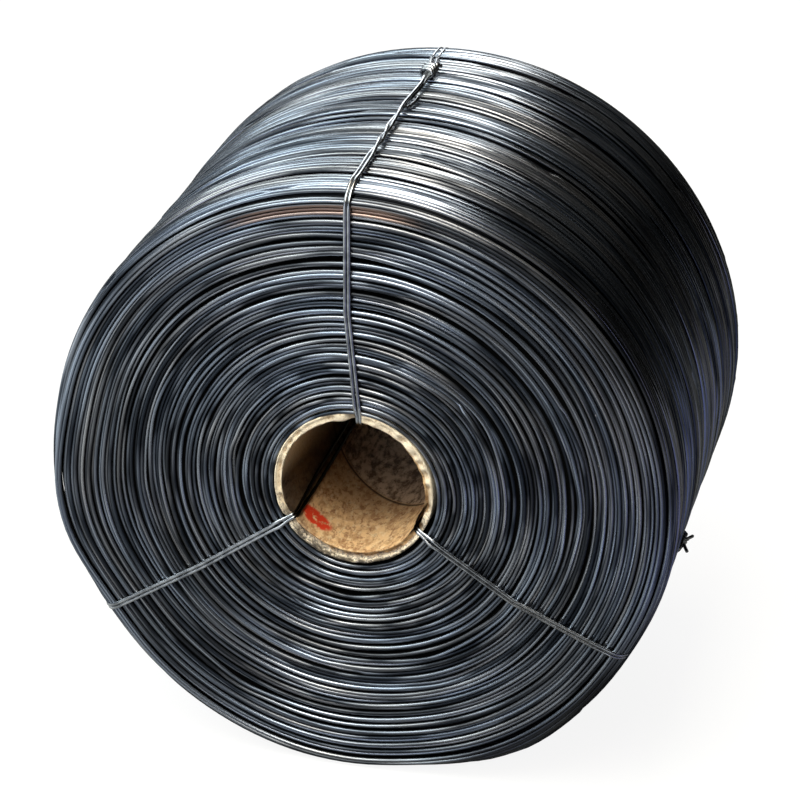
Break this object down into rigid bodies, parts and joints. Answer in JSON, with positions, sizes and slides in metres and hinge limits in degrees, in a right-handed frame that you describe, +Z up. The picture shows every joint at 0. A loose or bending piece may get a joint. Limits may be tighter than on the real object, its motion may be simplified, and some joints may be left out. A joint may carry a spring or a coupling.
{
  "type": "coil of tying wire",
  "caption": "Coil of fine black annealed steel tying wire wound on a cardboard core, lying on its side and held by doubled tie wires.",
  "frame": {"origin": "on the floor under the middle of the coil, which lies on its side", "axes": "+Y along the coil's axis from the front end to the back end, +Z up, +X to the right as seen from the front"},
  "size_m": [0.2154, 0.153, 0.2197],
  "materials": {
    "wound_wire": "black annealed steel wire with a thin oxide skin, satin",
    "tie_wire": "black annealed steel wire, satin",
    "core_board": "brown spiral wound cardboard, dull and stained"
  },
  "bodies": {
    "root": {"wire_winding": "wound_wire", "core_tube": "core_board", "tie_wire_top": "tie_wire", "tie_wire_right": "tie_wire", "tie_wire_left": "tie_wire"}
  },
  "joints": []
}
